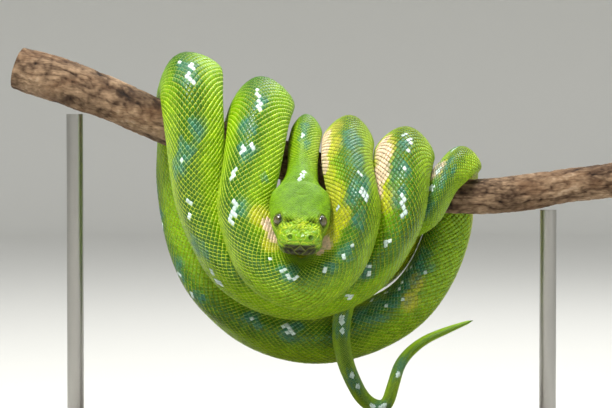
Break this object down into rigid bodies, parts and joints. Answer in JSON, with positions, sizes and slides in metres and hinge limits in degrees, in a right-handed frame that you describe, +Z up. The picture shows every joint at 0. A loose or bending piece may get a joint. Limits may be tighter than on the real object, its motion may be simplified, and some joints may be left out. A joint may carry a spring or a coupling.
{
  "type": "coiled green tree python",
  "caption": "Life-size still model of a green tree python, coiled in hanging loops over a cut branch, on a plain display stand.",
  "frame": {"origin": "centre of the underside of the stand's base", "axes": "+Z up, +X along the branch towards its lower end, -Y the side that the snake faces"},
  "size_m": [0.3696, 0.1754, 0.2546],
  "materials": {
    "skin": "fine scales, satin with a slight gloss",
    "eye": "clear and glossy",
    "bark": "dry fissured bark",
    "stand_wood": "dark stained, satin",
    "stand_metal": "brushed"
  },
  "bodies": {
    "root": {"head": "skin", "lower_jaw": "skin", "eye_left": "eye", "eye_right": "eye", "neck": "skin", "trunk_01": "skin", "trunk_02": "skin", "trunk_03": "skin", "trunk_04": "skin", "trunk_05": "skin", "trunk_06": "skin", "trunk_07": "skin", "trunk_08": "skin", "trunk_09": "skin", "trunk_10": "skin", "tail_base": "skin", "tail_middle": "skin", "tail_tip": "skin", "branch": "bark", "stand_base": "stand_wood", "stand_collar_left": "stand_metal", "stand_collar_right": "stand_metal", "stand_rod_left": "stand_metal", "stand_rod_right": "stand_metal"}
  },
  "joints": []
}
